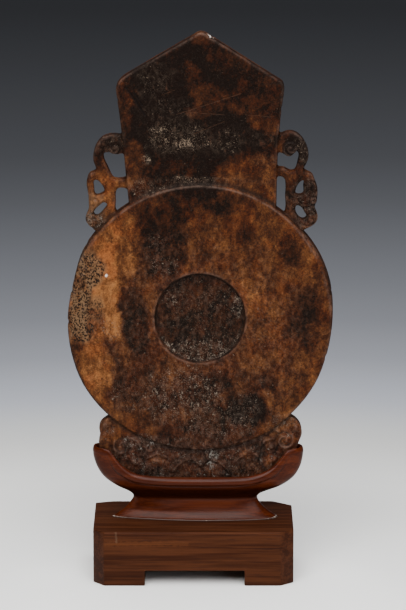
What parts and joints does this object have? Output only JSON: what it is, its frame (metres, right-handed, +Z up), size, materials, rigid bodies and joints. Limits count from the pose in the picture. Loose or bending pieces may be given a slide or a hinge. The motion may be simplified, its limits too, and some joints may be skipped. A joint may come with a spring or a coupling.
{
  "type": "carved jade bi disc on a wooden stand",
  "caption": "Carved jade bi disc on a pointed gui tablet, with openwork scroll ears and a cloud base, standing in a boat-shaped wooden cradle on a chamfered, arched plinth.",
  "frame": {"origin": "on the ground, in the middle of the object's overall width and depth", "axes": "+Z up, -Y towards the viewer of the carved front, +X to the viewer's right"},
  "size_m": [0.1194, 0.052, 0.2477],
  "materials": {
    "jade": "russet and brown jade, waxy, weathered with grey earthy deposits",
    "cradle_wood": "polished and lacquered red-brown hardwood",
    "plinth_wood": "satin brown hardwood with a straight level grain"
  },
  "bodies": {
    "root": {"jade_gui_bi": "jade", "wooden_cradle": "cradle_wood", "wooden_plinth": "plinth_wood"}
  },
  "joints": []
}
